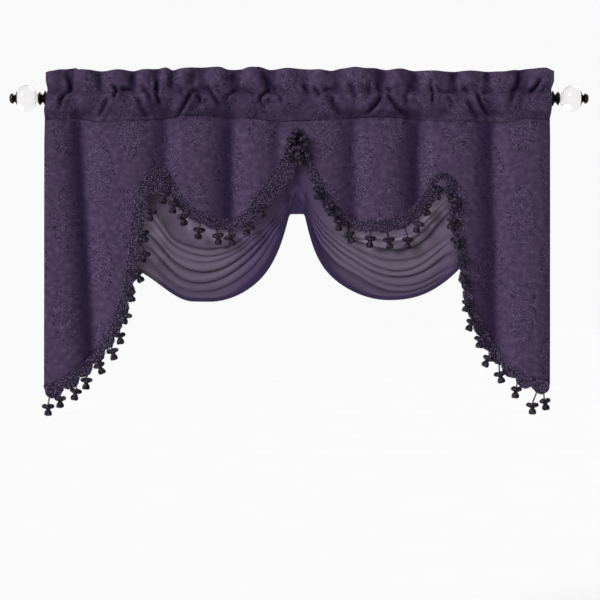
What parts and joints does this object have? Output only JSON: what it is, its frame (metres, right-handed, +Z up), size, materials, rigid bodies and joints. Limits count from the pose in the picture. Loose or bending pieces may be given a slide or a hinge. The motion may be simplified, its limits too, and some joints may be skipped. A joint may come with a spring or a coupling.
{
  "type": "austrian valance on a curtain rod",
  "caption": "Damask rod-pocket valance with long side tails, a scalloped front, sheer swags behind and tasselled lace edging, on a dark rod with clear ball finials.",
  "frame": {"origin": "middle of the rod's axis, where the rod's wall brackets carry it", "axes": "+X to the right along the rod as seen from the room, +Y from the room to the wall, +Z up"},
  "size_m": [1.3896, 0.0852, 0.8299],
  "materials": {
    "damask": "tone-on-tone woven damask, soft sheen",
    "voile": "sheer plain voile",
    "braid": "looped lace braid with bound tassels",
    "rod_metal": "dark bronze, satin",
    "finial_metal": "near-black bronze, satin",
    "clear_ball": "clear, polished"
  },
  "bodies": {
    "root": {"rod": "rod_metal", "damask_panel": "damask", "voile_left": "voile", "voile_right": "voile", "braid_tail_left": "braid", "braid_scallop_left": "braid", "braid_scallop_right": "braid", "braid_tail_right": "braid", "bunch_left": "braid", "bunch_centre": "braid", "bunch_right": "braid", "collar_left": "finial_metal", "ball_left": "clear_ball", "cap_left": "finial_metal", "collar_right": "finial_metal", "ball_right": "clear_ball", "cap_right": "finial_metal"}
  },
  "joints": []
}
